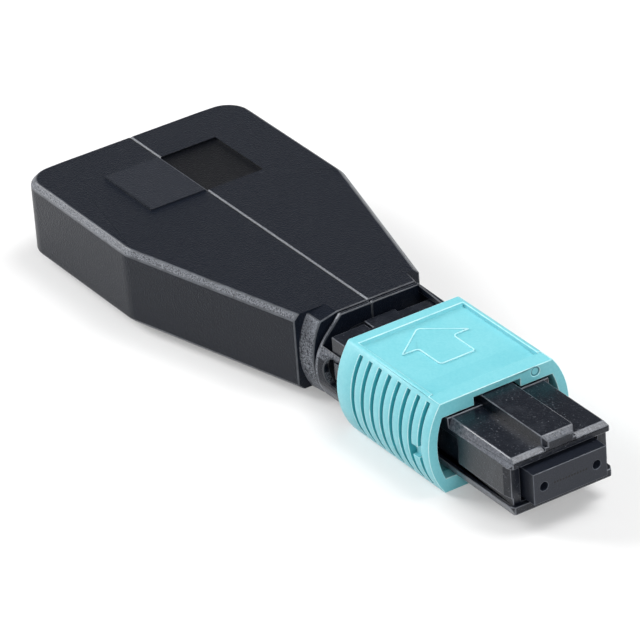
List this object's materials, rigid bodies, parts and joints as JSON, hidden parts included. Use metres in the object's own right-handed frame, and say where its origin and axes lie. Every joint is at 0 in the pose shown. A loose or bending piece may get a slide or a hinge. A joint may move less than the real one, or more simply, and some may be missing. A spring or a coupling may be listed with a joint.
{
  "type": "multi-fibre push-pull loopback plug",
  "caption": "Flat fibre-optic loopback plug: sprung rectangular ferrule in a keyed housing, ribbed sliding sleeve and tapered two-part shell holding fibre loops.",
  "frame": {"origin": "centre of the fibre row on the ferrule's mating face", "axes": "+X out of the plug's tip, +Z towards the key, +Y completes the right-handed frame"},
  "size_m": [0.0593, 0.02, 0.0076],
  "materials": {
    "shell_plastic": "fine moulded texture",
    "housing_plastic": "satin moulded",
    "sleeve_plastic": "satin moulded",
    "ferrule_resin": "polished resin end",
    "boot_rubber": "soft",
    "keeper_metal": "satin",
    "spring_steel": "drawn wire",
    "fibre_coating": "coated fibre"
  },
  "bodies": {
    "housing": {"shell_near": "shell_plastic", "shell_far": "shell_plastic", "plug_housing": "housing_plastic", "spring_carrier": "housing_plastic", "main_spring": "spring_steel", "sleeve_spring_near": "spring_steel", "sleeve_spring_far": "spring_steel"},
    "sleeve": {"outer_sleeve": "sleeve_plastic"},
    "ferrule_set": {"ferrule": "ferrule_resin", "ferrule_boot": "boot_rubber", "pin_keeper": "keeper_metal", "fibre_loop_1": "fibre_coating", "fibre_loop_2": "fibre_coating", "fibre_loop_3": "fibre_coating", "fibre_loop_4": "fibre_coating", "fibre_loop_5": "fibre_coating", "fibre_loop_6": "fibre_coating"}
  },
  "joints": [
    {"name": "sleeve_slide", "type": "slide", "parent": "housing", "child": "sleeve", "axis": [1, 0, 0], "range_m": [-0.002, 0], "stiffness_N_per_m": 600, "springref_m": 0.002, "deforming": ["sleeve_spring_near", "sleeve_spring_far"]},
    {"name": "ferrule_float", "type": "slide", "parent": "housing", "child": "ferrule_set", "axis": [1, 0, 0], "range_m": [-0.0008, 0], "stiffness_N_per_m": 2500, "springref_m": 0.003, "deforming": ["main_spring"]}
  ]
}
